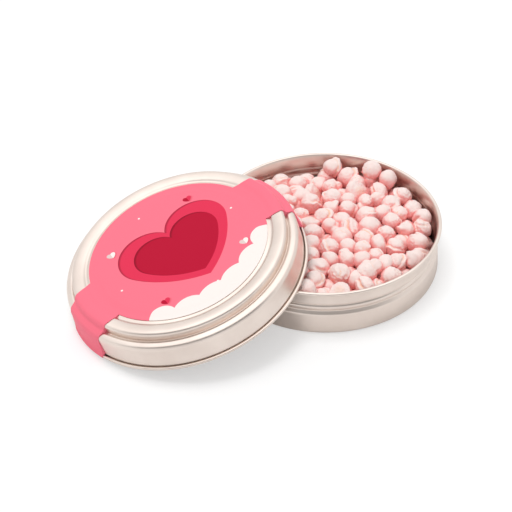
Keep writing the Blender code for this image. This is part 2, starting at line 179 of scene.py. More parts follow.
class LidSizes(bpy.types.PropertyGroup):
    """The drawn lid: each height is over its mouth."""

    clearance: length("Clearance", 0.35, "Between the base's rim and the lid's wall")
    curl_roll: length("Curl roll", 0.8, "Radius of the open curl's tube")
    curl_standoff: length("Curl stand-off", 0.05, "From the wall to the curl")
    ledge_inset: length("Ledge inset", 0.9, "From the wall in to the ledge's edge")
    shoulder_inset: length("Shoulder inset", 4.6, "From the wall in to the shoulder")
    shoulder_fillet: length("Shoulder fillet", 1.7, "Radius of the round shoulder")
    groove_width: length("Groove width", 0.9, "Width of the groove round the shoulder's foot")
    crest_inset: length("Crest inset", 3.15, "From the shoulder in to the crest")
    crest_width: length("Crest width", 2.6, "Width of the crest's inner slope")
    channel_inset: length("Channel inset", 4.3, "From the crest in to the channel")
    channel_width: length("Channel width", 1.9, "Width of the channel")
    label_margin: length("Label margin", 0.55, "From the channel in to the label")
    panel_step_inset: length("Panel step inset", 3.6, "From the label's edge in to the panel's step")
    panel_step_width: length("Panel step width", 2.6, "Width of the panel's step")
    height: length("Height", 18.3, "Height of the crest")
    crest_fall: length("Crest fall", 0.35, "Fall of the crest's inner slope")
    panel_drop: length("Panel drop", 0.9, "From the crest down to the panel")
    panel_crown: length("Panel crown", 0.35, "Rise of the panel inside its step")
    channel_depth: length("Channel depth", 0.45, "Depth of the channel")
    panel_bend: length("Panel bend", 1.3, "How far a bend of the panel and its channel reaches")
    ledge_height: length("Ledge height", 14.3, "Height of the ledge")
    ledge_fall: length("Ledge fall", 0.7, "Fall of the ledge to its edge")
    groove_depth: length("Groove depth", 0.8, "Depth of the groove")
    wall_height: length("Wall height", 11.6, "Height of the side wall's top")


class LabelSizes(bpy.types.PropertyGroup):
    """The paper label and what is printed on it."""

    paper: length("Paper", 0.2, "Thickness of the paper")
    gap: length("Glue", 0.08, "Between the tinplate and the paper")
    press: share("Press", 0.25, "How far the tabs' face follows the lid's hollows, as a share")
    low_near: tab_widths("Low tab, near side", (15.3, 17.2, 15.0))
    low_far: tab_widths("Low tab, far side", (13.2, 10.6, 10.6))
    high_near: tab_widths("High tab, near side", (15.5, 17.6, 16.3))
    high_far: tab_widths("High tab, far side", (15.2, 13.2, 14.5))
    heart_turn: angle("Heart turn", 3.8, "Turn of the nested hearts in the print")
    heart_right: length("Heart right", 2.0, "Middle of the nested hearts, to the right")
    heart_up: length("Heart up", -1.6, "Middle of the nested hearts, upwards")
    heart_size: length("Heart size", 24.5, "Half the height of the outer heart")
    inner_heart: share("Inner heart", 0.77, "Size of the inner heart as a share of the outer one")
    cut_shade: length("Cut shade", 0.75, "Width of the shade along the upper edges of the hearts")
    ring_radius: length("Ring radius", 33.0, "Radius of the ring of small hearts and dots")
    ring_turn: angle("Ring turn", 6, "Turn of that ring")
    small_heart: length("Small heart", 1.9, "Half the height of a small heart")
    dot_radius: length("Dot radius", 0.55, "Radius of a dot")
    scallops: count("Scallops", 6, "How many scallops the cream border has")
    scallop_radius: length("Scallop radius", 10.8, "Radius of the middle scallop")
    scallop_fade: share("Scallop fade", 0.36, "How much smaller the last scallops are, as a share")
    scallop_line: length("Scallop line", 42.5, "Radius of the arc that the scallops' middles lie on")
    scallop_middle: angle("Scallop middle", -82, "Bearing of the middle scallop")
    scallop_spread: angle("Scallop spread", 47, "Turn from the middle scallop to the last ones")
    unroll: length("Print reach", 80.0, "Half the width of the square that the print's map covers")


class SweetSizes(bpy.types.PropertyGroup):
    """The heap of sweets."""

    swell: share("Swell", 1.24, "A loose sweet's size as a share of its CAD solid's")
    forms: count("Forms", 14, "How many different sweets there are")
    loose_detail: count("Loose detail", 5, "How often the ball of a loose sweet is subdivided")
    shown_detail: count("Shown detail", 4, "How often that of a sweet between the loose ones is")
    hidden_detail: count("Hidden detail", 2, "How often that of a sweet under them is")
    between: count("Sweets between", 230, "How many sweets lie under and between the loose ones")
    closeness: share("Closeness", 0.86, "How near two middles come, as a share of both radii together")
    ceiling: length("Ceiling", 0.4, "How far the sweets between may stand over the loose ones round them")
    crown_back: spot("Crown, back", (6.8, 47.4, 22.2), "The sweet that crowns the heap at the back")
    crown_right: spot("Crown, right", (26.0, 40.8, 24.0), "The one right of it")
    crown_low: spot("Crown, low", (33.6, 35.6, 21.6), "The lowest of the three")
    crown_radius: length("Crown sweets", 5.1, "Radius of those three")
    pushes: count("Pushes", 300, "How often they are pushed apart")
    lift: length("Lift", 0.05, "How far they rise between two pushes")
    smallest: length("Smallest", 4.2, "Radius of the smallest of those")
    largest: length("Largest", 5.8, "Radius of the largest of those")
    well_radius: length("Well radius", 53.2, "How far out of the base's axis the sweets between reach")
    well_floor: length("Well floor", 0.6, "How near the table the sweets between come")
    shown_depth: length("Shown depth", 6.5, "How far under the loose sweets others are modelled finely")
    lumps_in_piece: count("Lumps in a piece", 38, "How many sweets of the heap are joined in one piece")
    seed: count("Seed", 7, "Start of the random draws")


class Colours(bpy.types.PropertyGroup):
    """The colours of the finishes."""

    tin_light: colour("Tinplate, light", (233, 220, 211), "The lighter clouds in the tinplate")
    tin_dark: colour("Tinplate, dark", (224, 210, 201), "The darker clouds in the tinplate")
    print_pink: colour("Print, pink", (255, 123, 143), "The label's ground")
    print_red: colour("Print, red", (230, 54, 87), "The outer heart")
    print_dark: colour("Print, dark red", (188, 14, 52), "The inner heart")
    print_cream: colour("Print, cream", (254, 243, 238), "The scallops")
    print_fold: colour("Print, folded cream", (232, 208, 204), "The shaded half of a small cream heart")
    sugar_light: colour("Sugar, light", (255, 234, 229), "The sugared crust")
    # Pink of random patches in the crust, and also painted shade on sheltered, side and down faces
    sugar_patch_and_shade: colour("Sugar, mid", (255, 217, 212), "The thin places of the crust")
    # Painted shade: the deep pink stands in for shade and for pink light bounced between the sweets
    sugar_painted_shade: colour("Sugar, deep", (255, 184, 180), "The moist crust between the sweets")
    sugar_crease: colour("Sugar, creases", (255, 200, 165), "The cracks and folds")
    floor: colour("Floor", (243, 243, 243), "The floor")


class StageSettings(bpy.types.PropertyGroup):
    """The floor, the light and the camera."""

    floor_reach: length("Floor reach", 3000, "Half the floor's width")
    floor_in_view: share("Floor in view", 0.62, "What the floor keeps of its colour for the camera")
    floor_glow: share("Floor glow", 0.48, "What the floor adds for the camera")
    floor_shine: share("Floor shine", 0.08, "What the floor adds in what metal shows")
    sky: share("Sky", 0.65, "Strength of the light from the sides")
    sky_rise: share("Sky rise", 0.1, "How much stronger the light from overhead is")
    backdrop: share("Backdrop", 1.0, "Strength of the backdrop as the camera and metal see it")
    backdrop_rise: share("Backdrop rise", 0.56, "How much brighter metal shows it overhead")
    dark_wall: share("Dark wall", 0.8, "How much darker metal shows the wall on the near side")
    lamp_place: spot("Lamp", (-200, 50, 1350), "Place of the lamp, which faces the base's foot")
    lamp_width: length("Lamp width", 500, "Width of the square lamp")
    lamp_power: bpy.props.FloatProperty(
        name="Lamp power", description="Power of the lamp", default=6.6, unit="POWER"
    )
    camera_lens: bpy.props.FloatProperty(
        name="Lens", description="Focal length of the camera", default=105.47, unit="CAMERA"
    )
    camera_place: spot("Camera", (-34.13, -576.9, 470.2), "Place of the camera")
    camera_tilt: angle("Camera tilt", 51.04, "Turn of the camera up from straight down")
    camera_roll: angle("Camera roll", -1.92, "Turn of the camera about its own line of sight")


class TinSettings(bpy.types.PropertyGroup):
    """All that a user would change on the tin."""

    sheet: group(SheetSizes, "Sheet", "Sheet metal")
    base: group(BaseSizes, "Base", "Sizes of the base")
    lid: group(LidSizes, "Lid", "Sizes of the lid")
    label: group(LabelSizes, "Label", "Sizes of the label")
    sweets: group(SweetSizes, "Sweets", "Sizes of the sweets")
    colours: group(Colours, "Colours", "Colours of the finishes")
    stage: group(StageSettings, "Stage", "Floor, light and camera")


def maths(operation, reflected=False):
    """A method of a socket that adds a Math node on it and on the other value, if there is one."""
    def method(self, *other):
        values = (*other, self) if reflected else (self, *other)
        return self.finish.node("ShaderNodeMath", {"operation": operation}, dict(enumerate(values)))
    return method


class Socket:
    """A shader value that is reckoned with like a number: each operator adds its Math node."""

    def __init__(self, finish, output):
        self.finish = finish
        self.output = output

    __add__ = maths("ADD")
    __radd__ = maths("ADD", reflected=True)
    __sub__ = maths("SUBTRACT")
    __rsub__ = maths("SUBTRACT", reflected=True)
    __mul__ = maths("MULTIPLY")
    __rmul__ = maths("MULTIPLY", reflected=True)
    __truediv__ = maths("DIVIDE")
    __pow__ = maths("POWER")
    __abs__ = maths("ABSOLUTE")
    __gt__ = maths("GREATER_THAN")
    sign = maths("SIGN")
    root = maths("SQRT")
    least = maths("MINIMUM")
    most = maths("MAXIMUM")

    def eased(self, low, high):
        """0 up to low, 1 from high on, and a smooth ramp in between."""
        inputs = {"Value": self, "From Min": low, "From Max": high}
        return self.finish.node("ShaderNodeMapRange", {"interpolation_type": "SMOOTHSTEP"}, inputs)


class NodeTree:
    """The nodes of a material or of the world, and the one method that adds any of them."""

    def __init__(self, owner):
        owner.use_nodes = True
        self.tree = owner.node_tree

    def feed(self, node, inputs):
        """Give a node's sockets their values or links."""
        for key, value in inputs.items():
            socket = node.inputs[key]
            if isinstance(value, Socket):
                self.tree.links.new(value.output, socket)
            elif socket.type == "RGBA":
                socket.default_value = (*value, 1.0)
            else:
                socket.default_value = value

    def node(self, kind, settings=None, inputs=None, output=0):
        """Add a node, set it up, feed its sockets and hand back one of its outputs."""
        added = self.tree.nodes.new(kind)
        for setting, value in (settings or {}).items():
            setattr(added, setting, value)
        self.feed(added, inputs or {})
        return Socket(self, added.outputs[output])

    def place(self):
        return self.node("ShaderNodeTexCoord", output="Object")

    def parts(self, vector):
        """The X, Y and Z of a vector."""
        split = self.node("ShaderNodeSeparateXYZ", inputs={"Vector": vector})
        return [Socket(self, output) for output in split.output.node.outputs]

    def noise(self, place, scale, detail=2.0, roughness=0.5):
        """Noise from 0 to 1 with about so many grains to a metre."""
        inputs = {"Vector": place, "Scale": scale, "Detail": detail, "Roughness": roughness}
        return self.node("ShaderNodeTexNoise", inputs=inputs)

    def stretched(self, place, scale):
        return self.node("ShaderNodeMapping", inputs={"Vector": place, "Scale": scale})

    def blend(self, amount, first, second):
        """The first colour where the amount is 0, the second where it is 1."""
        return self.node("ShaderNodeMix", {"data_type": "RGBA"}, {0: amount, 6: first, 7: second}, output=2)

    def ray(self, *kinds):
        """1 for rays of any of these kinds, and 0 for all others."""
        found = [self.node("ShaderNodeLightPath", output=f"Is {kind} Ray") for kind in kinds]
        return found[0].most(found[1]) if len(found) == 2 else found[0]


class Finish(NodeTree):
    """A material of one Principled shader."""

    def __init__(self, name, values):
        self.material = bpy.data.materials.new(name)
        super().__init__(self.material)
        self.shader = self.tree.nodes["Principled BSDF"]
        self.feed(self.shader, values)

    def bump(self, height, distance, strength=1.0):
        inputs = {"Height": height, "Distance": distance, "Strength": strength}
        self.feed(self.shader, {"Normal": self.node("ShaderNodeBump", inputs=inputs)})


def tinplate(colours):
    """Satin tinplate: warm grey metal with soft clouds, fine grain and faint marks of the drawing."""
    finish = Finish("satin tinplate", {"Metallic": 1.0, "IOR": 2.2})
    place = finish.place()
    clouds = finish.noise(place, 55.0, 3.0)
    grain = finish.noise(place, 5200.0, 1.0)
    drawing = finish.noise(finish.stretched(place, (1.0, 1.0, 0.06)), 900.0, 2.0)
    finish.feed(finish.shader, {
        "Base Color": finish.blend(clouds.eased(0.3, 0.7), colours.tin_light, colours.tin_dark),
        "Roughness": 0.24 + 0.06 * clouds + 0.05 * grain + 0.04 * drawing,
    })
    finish.bump(0.65 * grain + 0.35 * drawing, 0.012 * MM)
    return finish.material


def heart_distance(x, y):
    """How far a place is out of a heart's edge; its tip is at -1 and its lobes' tops at 1, as on a card.

    Each half is a round lobe that goes over into one long flat arc down to the tip.
    """
    lobe_x, lobe_y, lobe_radius = 0.56, 0.36, 0.63
    side_radius = 2.3
    reach = math.hypot(lobe_x, lobe_y + 1.0)
    turn = math.atan2(lobe_y + 1.0, lobe_x)
    centre_step = side_radius - lobe_radius
    swing = math.acos((side_radius ** 2 + reach ** 2 - centre_step ** 2) / (2 * side_radius * reach))
    side_x = side_radius * math.cos(turn + swing)
    side_y = side_radius * math.sin(turn + swing) - 1.0
    across = abs(x)
    from_lobe = ((across - lobe_x) ** 2.0 + (y - lobe_y) ** 2.0).root() - lobe_radius
    from_side = ((across - side_x) ** 2.0 + (y - side_y) ** 2.0).root() - side_radius
    above = (y - lobe_y) * (lobe_x - side_x) - (across - lobe_x) * (lobe_y - side_y) > 0.0
    return from_side + (from_lobe - from_side) * above


def printed_paper(colours, label):
    """Coated paper with its print: nested hearts, a ring of small hearts and dots, a scalloped border."""
    finish = Finish("printed paper", {"Specular IOR Level": 0.12})
    where = finish.parts(finish.node("ShaderNodeUVMap", {"uv_map": "print"}))
    right = (where[0] - 0.5) * (2 * label.unroll / MM)
    up = (where[1] - 0.5) * (2 * label.unroll / MM)
    edge, fold_edge = 0.08, 0.05
    shade_right, shade_up, shade_fade = 0.5, 0.6, 0.5

    def turned(x, y, turn):
        return x * math.cos(turn) + y * math.sin(turn), y * math.cos(turn) - x * math.sin(turn)

    x, y = turned(right - label.heart_right / MM, up - label.heart_up / MM, label.heart_turn)
    size = label.heart_size / MM
    shade = label.cut_shade / MM
    picture = colours.print_pink
    for scale, ink in ((1.0, colours.print_red), (label.inner_heart, colours.print_dark)):
        reach = size * scale
        y = y + 0.2 * (size - reach)
        inside = (heart_distance(x / reach, y / reach) * reach).eased(edge, -edge)
        over = heart_distance((x - 0.6 * shade) / reach, (y + shade) / reach) * reach
        cut = over.eased(-shade, 0.5 * shade)
        inked = finish.blend(0.6 * cut, ink, tuple(0.3 * channel for channel in ink))
        picture = finish.blend(inside, picture, inked)

    ring_x, ring_y = turned(right, up, label.ring_turn)
    ring = label.ring_radius / MM
    diagonal = ring * math.sqrt(0.5)
    beside_x, beside_y = turned(
        ring_x - diagonal * ring_x.sign(), ring_y - diagonal * ring_y.sign(), -label.ring_turn
    )
    small = label.small_heart / MM
    inside = (heart_distance(beside_x / small, beside_y / small) * small).eased(edge, -edge)
    under = heart_distance((beside_x - shade_right) / small, (beside_y + shade_up) / small) * small
    picture = finish.blend(0.3 * under.eased(shade_fade, -shade_fade), picture, colours.print_dark)
    pale = ring_x * ring_y > 0.0
    fold = beside_x.eased(fold_edge, -fold_edge)
    red_heart = finish.blend(fold, colours.print_red, colours.print_dark)
    cream_heart = finish.blend(fold, colours.print_cream, colours.print_fold)
    picture = finish.blend(inside, picture, finish.blend(pale, cream_heart, red_heart))

    far_x, far_y = abs(ring_x), abs(ring_y)
    from_dot = ((far_x.most(far_y) - ring) ** 2.0 + far_x.least(far_y) ** 2.0).root()
    dot = from_dot.eased(label.dot_radius / MM + edge, label.dot_radius / MM - edge)
    picture = finish.blend(dot, picture, colours.print_cream)

    line = label.scallop_line / MM
    half = (label.scallops - 1) / 2
    from_border = None
    for i in range(label.scallops):
        away = (i - half) / half
        turn = label.scallop_middle + away * label.scallop_spread
        radius = label.scallop_radius / MM * (1 - label.scallop_fade * away ** 2)
        beside = (right - line * math.cos(turn)) ** 2.0 + (up - line * math.sin(turn)) ** 2.0
        from_scallop = beside.root() - radius
        from_border = from_scallop.least(from_border) if from_border else from_scallop
    picture = finish.blend(from_border.eased(edge, -edge), picture, colours.print_cream)

    fibre = finish.noise(finish.place(), 2600.0, 3.0)
    finish.feed(finish.shader, {"Base Color": picture, "Roughness": 0.45 + 0.12 * fibre})
    finish.bump(fibre, 0.008 * MM)
    return finish.material


def pink_sugar(colours):
    """A dry, dusty sugar crust, pinker in random patches and in the cracks, with painted shade: pale on the
    crowns, pinker on the sides and undersides, deepest pink between the sweets.
    """
    finish = Finish("pink sugar", {
        "Specular IOR Level": 0.2,
        "Subsurface Weight": 0.3,
        "Subsurface Radius": (1.0, 0.9, 0.88),
        "Subsurface Scale": 1.0 * MM,
    })
    place = finish.place()
    crease = finish.node("ShaderNodeAttribute", {"attribute_name": "crease"}, output="Fac")
    painted_shade = finish.node("ShaderNodeAttribute", {"attribute_name": "painted_shade"}, output="Fac")
    patches = finish.noise(place, 300.0, 3.0)
    dust = finish.noise(place, 2900.0, 3.0, 0.65)
    grains = finish.noise(place, 600.0, 3.0, 0.6)
    # Random patches are real tone; the rest is painted shade: faces that other sweets, the wall or a downward
    # tilt keep from the sky turn pinker, deepest between the sweets, so the crowns stay pale
    patches_and_shade = (0.2 * patches.eased(0.4, 0.7) + painted_shade.eased(0.1, 0.6)).least(1.0)
    crust = finish.blend(patches_and_shade, colours.sugar_light, colours.sugar_patch_and_shade)
    crust = finish.blend(painted_shade.eased(0.45, 1.0), crust, colours.sugar_painted_shade)
    finish.feed(finish.shader, {
        "Base Color": finish.blend(0.8 * crease.eased(0.3, 1.0), crust, colours.sugar_crease),
        "Roughness": 0.72 + 0.2 * dust,
    })
    finish.bump(0.3 * dust + 0.7 * grains, 0.4 * MM, 0.8)
    return finish.material


def arc(centre, radius, start, end, steps):
    """Points along a round stretch between two turns in degrees."""
    turns = [math.radians(start + (end - start) * i / steps) for i in range(steps + 1)]
    return [(centre[0] + radius * math.cos(turn), centre[1] + radius * math.sin(turn)) for turn in turns]


def softened(corners, reach, steps):
    """A line with each corner between its ends rounded off."""
    path = [corners[0]]
    for before, corner, after in zip(corners, corners[1:], corners[2:]):
        here = Vector(corner)
        back = Vector(before) - here
        ahead = Vector(after) - here
        back *= min(0.5, reach / back.length)
        ahead *= min(0.5, reach / ahead.length)
        bend = [here + back * (1 - i / steps) ** 2 + ahead * (i / steps) ** 2 for i in range(steps + 1)]
        if (bend[0] - Vector(path[-1])).length < 10 * MERGE:
            bend.pop(0)
        path += [tuple(point) for point in bend]
    return path + [corners[-1]]


def mesh_points(mesh):
    """The points of a mesh, as rows of X, Y and Z."""
    points = np.empty(3 * len(mesh.vertices))
    mesh.vertices.foreach_get("co", points)
    return points.reshape(-1, 3)


def node_points(name):
    """Each point of a CAD node once."""
    return np.unique(mesh_points(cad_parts[name].data).round(6), axis=0)


def lid_place():
    """The lid's own frame: origin in its mouth's middle, +Z out of its panel, +X to the tab on the table."""
    points = node_points("lid")
    middle = points.mean(axis=0)
    axis = np.linalg.eigh(np.cov((points - middle).T))[1][:, 0]
    axis *= np.sign(axis[2])
    mouth = middle + axis * ((points - middle) @ axis).min()
    label = node_points("seal_label") - middle
    label -= np.outer(label @ axis, axis)
    reach = np.linalg.norm(label, axis=1)
    ends = label[reach > reach.max() * 0.9]
    tabs = Vector(np.linalg.eigh(ends.T @ ends)[1][:, -1])
    tabs *= -math.copysign(1.0, tabs.z)
    upright = Vector(axis)
    place = Matrix((tabs, upright.cross(tabs), upright)).transposed().to_4x4()
    place.translation = Vector(mouth)
    return place


def start_piece(name):
    """Name the primitive that was just added."""
    piece = bpy.context.object
    piece.name = name
    piece.data.name = name
    return piece


def drawn_line(name, points):
    """A new piece with one line, drawn point by point."""
    bpy.ops.object.select_all(action="DESELECT")
    bpy.ops.mesh.primitive_plane_add(size=MM)
    piece = start_piece(name)
    bpy.ops.object.mode_set(mode="EDIT")
    bpy.ops.mesh.select_mode(type="VERT")
    bpy.ops.mesh.merge(type="CENTER")
    bpy.ops.transform.translate(value=points[0])
    for here, there in zip(points, points[1:]):
        step = tuple(Vector(there) - Vector(here))
        bpy.ops.mesh.extrude_vertices_move(TRANSFORM_OT_translate={"value": step})
    bpy.ops.object.mode_set(mode="OBJECT")
    return piece


def turned_sheet(name, path, segments):
    """Draw a line beside the Z axis and spin it into a sheet with no thickness."""
    piece = drawn_line(name, [(radius, 0, height) for radius, height in path])
    bpy.ops.object.mode_set(mode="EDIT")
    bpy.ops.mesh.select_all(action="SELECT")
    bpy.ops.mesh.spin(steps=segments, angle=2 * math.pi, center=(0, 0, 0), axis=(0, 0, 1))
    bpy.ops.mesh.select_all(action="SELECT")
    bpy.ops.mesh.remove_doubles(threshold=MERGE)
    bpy.ops.mesh.normals_make_consistent(inside=False)
    bpy.ops.object.mode_set(mode="OBJECT")
    return piece


def thicken(piece, thickness):
    """Give a sheet its thickness, half to either side."""
    solid = piece.modifiers.new("thickness", "SOLIDIFY")
    solid.thickness = thickness
    solid.offset = 0
    solid.use_even_offset = True
    bpy.ops.object.modifier_apply(modifier=solid.name)


def finish_piece(piece, material, sharp, place=None):
    """Shade a piece, give it its material and put its place into its mesh."""
    bpy.ops.object.shade_smooth_by_angle(angle=sharp)
    piece.data.materials.append(material)
    if place:
        piece.matrix_world = place
        bpy.ops.object.transform_apply(location=True, rotation=True, scale=True)


def base_path(base, sheet):
    """Middle line of the base's sheet, from the centre of its floor to the end of its rolled rim."""
    half = sheet.sheet / 2
    wall = base.rim_radius - 2 * base.rim_roll - base.rim_standoff
    foot = (wall + base.foot_flare - base.foot_fillet, base.foot_fillet)
    roll = (base.rim_radius - base.rim_roll, base.height - base.rim_roll)
    neck = base.lower_wall + base.neck_rise
    bead = neck + base.bead_rise
    step = bead + base.bead_width + base.step_rise
    foot_arc = arc(foot, base.foot_fillet - half, -90, 0, sheet.roll_steps // 2)
    pressed = [
        foot_arc[-1],
        (wall + base.wall_flare - half, base.lower_wall),
        (wall - base.neck_depth - half, neck),
        (wall + base.bead_swell - half, bead),
        (wall + base.bead_swell - half, bead + base.bead_width),
        (wall - base.step_depth - half, step),
        (wall - half, step + base.step_width),
        (wall - half, base.height - 2 * base.rim_roll),
    ]
    rim_arc = arc(roll, base.rim_roll - half, 170, -110, sheet.roll_steps)
    middle = softened(pressed, sheet.soft_reach, sheet.bend_steps)
    return [(0, half)] + foot_arc + middle[1:] + rim_arc


def lid_radii(base, lid, sheet):
    """Radii of the lid's wall, shoulder, crest, channel and label, from the outside in."""
    wall = base.rim_radius + lid.clearance + sheet.sheet
    shoulder = wall - lid.shoulder_inset
    crest = shoulder - lid.crest_inset
    channel = crest - lid.channel_inset
    label = channel - lid.channel_width / 2 - lid.label_margin
    return wall, shoulder, crest, channel, label


def lid_lines(base, lid, sheet, inset):
    """The corners of the pressed lid from its middle out, so far in from the metal's outer face.

    They come in four lines: the panel, the channel and crest, the groove and ledge, and the side wall.
    """
    outer, shoulder, crest, channel, label = lid_radii(base, lid, sheet)
    wall = outer - inset
    panel_step = label - lid.panel_step_inset
    top = lid.height - inset
    panel = top - lid.panel_drop
    ledge = lid.ledge_height - inset
    ledge_edge = ledge - lid.ledge_fall
    disc = [
        (0, panel + lid.panel_crown),
        (panel_step - lid.panel_step_width / 2, panel + lid.panel_crown),
        (panel_step + lid.panel_step_width / 2, panel),
    ]
    channel_line = [
        (channel - lid.channel_width / 2, panel),
        (channel, panel - lid.channel_depth),
        (channel + lid.channel_width / 2, panel - lid.channel_depth / 2),
        (crest - lid.crest_width, top - lid.crest_fall),
        (crest, top),
    ]
    groove_line = [
        (shoulder - inset, ledge - lid.groove_depth / 2),
        (shoulder + lid.groove_width / 3, ledge - lid.groove_depth),
        (shoulder + lid.groove_width, ledge - lid.ledge_fall / 4),
        (shoulder + 2 * lid.groove_width, ledge),
    ]
    wall_line = [
        (wall - lid.ledge_inset, ledge_edge),
        (wall - lid.ledge_inset / 3, (ledge_edge + lid.wall_height) / 2),
        (wall, lid.wall_height),
        (wall, 2 * lid.curl_roll),
    ]
    return disc, channel_line, groove_line, wall_line


def lid_rounds(base, lid, sheet):
    """Centres of the lid's round shoulder and of its curl."""
    outer, shoulder = lid_radii(base, lid, sheet)[:2]
    fillet = (shoulder - lid.shoulder_fillet, lid.height - lid.shoulder_fillet)
    curl = (outer + lid.curl_standoff + lid.curl_roll, lid.curl_roll)
    return fillet, curl


def lid_path(base, lid, sheet):
    """Middle line of the lid's sheet, from the centre of its panel to the end of its curl."""
    half = sheet.sheet / 2
    disc, channel_line, groove_line, wall_line = lid_lines(base, lid, sheet, half)
    fillet, curl = lid_rounds(base, lid, sheet)
    shoulder_arc = arc(fillet, lid.shoulder_fillet - half, SHOULDER_START, 0, sheet.roll_steps // 2)
    path = softened([*disc, *channel_line, shoulder_arc[0]], lid.panel_bend, sheet.bend_steps)
    path += shoulder_arc[1:]
    path += softened([shoulder_arc[-1], *groove_line, *wall_line], sheet.soft_reach, sheet.bend_steps)[1:]
    return path + arc(curl, lid.curl_roll - half, 190, 470, sheet.roll_steps)


def label_path(base, lid, sheet, lift, press):
    """A line along the label from the lid's middle to a tab's end, so far off the metal as lift says.

    Past the disc's edge it is stretched straight over the hollows at a press of 0, and follows them at 1.
    """
    outer, *_, edge = lid_radii(base, lid, sheet)
    disc, channel_line, groove_line, wall_line = lid_lines(base, lid, sheet, 0)
    fillet, curl = lid_rounds(base, lid, sheet)
    shoulder_arc = arc(fillet, lid.shoulder_fillet, SHOULDER_START, 45, sheet.roll_steps // 2)
    shoulder_foot = arc(fillet, lid.shoulder_fillet, 15, 0, 1)[0]
    curl_arc = arc(curl, lid.curl_roll, 40, -30, sheet.roll_steps // 2)
    disc.append((edge, disc[-1][1]))
    ledge_edge, _, wall_top, _ = wall_line
    wall_foot = (outer, 2 * lid.curl_roll + sheet.soft_reach)

    def pressed(points, start, end):
        """The points, drawn towards even steps along the straight line over their hollow."""
        drawn = []
        for i, point in enumerate(points):
            flat = Vector(start).lerp(Vector(end), (i + 1) / (len(points) + 1))
            drawn.append(tuple(flat.lerp(Vector(point), press)))
        return drawn

    crest = channel_line.pop()
    over = pressed(channel_line, disc[-1], crest)
    down = pressed([shoulder_foot, *groove_line], shoulder_arc[-1], ledge_edge)
    wall = pressed([(outer, lid.wall_height / 2), wall_foot], wall_top, curl_arc[0])
    path = softened(disc, sheet.soft_reach, sheet.bend_steps)
    path += softened([disc[-1], *over, crest, shoulder_arc[0]], lid.panel_bend, sheet.bend_steps)[1:]
    path += shoulder_arc[1:]
    corners = [shoulder_arc[-1], *down, ledge_edge, wall_top, *wall, curl_arc[0]]
    path += softened(corners, sheet.soft_reach, sheet.bend_steps)[1:]
    path += curl_arc[1:]
    return lifted(path, lift)


def lifted(path, lift):
    """A line moved off to its upper and outer side."""
    moved = []
    for i, here in enumerate(path):
        along = Vector(path[min(i + 1, len(path) - 1)]) - Vector(path[max(i - 1, 0)])
        off = Vector((-along.y, along.x)).normalized() * lift
        moved.append((max(0.0, here[0] + off.x) if i else 0.0, here[1] + off.y))
    return moved


def tab_side(edge, tip, sides, turn):
    """One side of a tab, from the disc's edge to past its end; turn is 1 or -1 along each axis."""
    at_disc, at_shoulder, at_end = sides
    start = math.sqrt(edge ** 2 - at_disc ** 2)
    corners = [(start, at_disc), ((start + tip) / 2, at_shoulder), (tip, at_end), (TAB_OVERRUN * tip, at_end)]
    line = softened(corners, tip - start, TAB_STEPS)
    return [(turn[0] * x, turn[1] * y) for x, y in line]


def label_outline(edge, tip, label, steps):
    """The label's outline: its disc's two round edges, and the curved sides of its two tabs."""
    sides = (
        tab_side(edge, tip, label.low_near, (1, 1)),
        tab_side(edge, tip, label.high_near, (-1, 1)),
        tab_side(edge, tip, label.high_far, (-1, -1)),
        tab_side(edge, tip, label.low_far, (1, -1)),
    )
    outline = []
    for before, after in ((sides[0], sides[1]), (sides[2], sides[3])):
        turns = [math.degrees(math.atan2(side[0][1], side[0][0])) for side in (before, after)]
        outline += before[::-1] + arc((0, 0), edge, *turns, steps)[1:-1] + after
    return outline


def cut_label(piece, outline, reach):
    """Cut a turned label with a die of its outline."""
    die = drawn_line("label_die", [(x, y, -reach) for x, y in outline])
    bpy.ops.object.mode_set(mode="EDIT")
    bpy.ops.mesh.select_all(action="SELECT")
    bpy.ops.mesh.remove_doubles(threshold=MERGE)
    bpy.ops.mesh.edge_face_add()
    bpy.ops.mesh.extrude_region_move(TRANSFORM_OT_translate={"value": (0, 0, 2 * reach)})
    bpy.ops.mesh.select_all(action="SELECT")
    bpy.ops.mesh.normals_make_consistent(inside=False)
    bpy.ops.object.mode_set(mode="OBJECT")
    bpy.ops.object.select_all(action="DESELECT")
    piece.select_set(True)
    bpy.context.view_layer.objects.active = piece
    cut = piece.modifiers.new("cut", "BOOLEAN")
    cut.operation = "INTERSECT"
    cut.object = die
    bpy.ops.object.modifier_apply(modifier=cut.name)
    bpy.data.objects.remove(die)


def map_print(piece, panel, reach):
    """Lay the print flat on the paper as the reader sees it, with the tabs unrolled to either side."""
    flat = piece.data.uv_layers.new(name="print")
    for loop in piece.data.loops:
        place = piece.data.vertices[loop.vertex_index].co
        along = place.x + math.copysign(max(0.0, panel - place.z), place.x)
        flat.data[loop.index].uv = (0.5 - along / (2 * reach), 0.5 - place.y / (2 * reach))


class SWEETTIN_OT_base(bpy.types.Operator):
    """Turn the drawn base with its rolled rim, step, stop bead, neck and rounded foot"""

    bl_idname = "sweet_tin.base"
    bl_label = "Make Base"

    def execute(self, context):
        settings = context.scene.sweet_tin
        sheet = settings.sheet
        piece = turned_sheet("tin_base", base_path(settings.base, sheet), sheet.segments)
        thicken(piece, sheet.sheet)
        finish_piece(piece, tinplate(settings.colours), sheet.sharp)
        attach(piece, "base")
        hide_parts("base_tin")
        return {"FINISHED"}


class SWEETTIN_OT_lid(bpy.types.Operator):
    """Turn the drawn lid with its panel, channel, shoulder, groove, ledge and open curl"""

    bl_idname = "sweet_tin.lid"
    bl_label = "Make Lid"

    def execute(self, context):
        settings = context.scene.sweet_tin
        sheet = settings.sheet
        piece = turned_sheet("tin_lid", lid_path(settings.base, settings.lid, sheet), sheet.segments)
        thicken(piece, sheet.sheet)
        finish_piece(piece, bpy.data.materials["satin tinplate"], sheet.sharp, lid_place())
        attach(piece, "lid")
        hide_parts("lid")
        return {"FINISHED"}


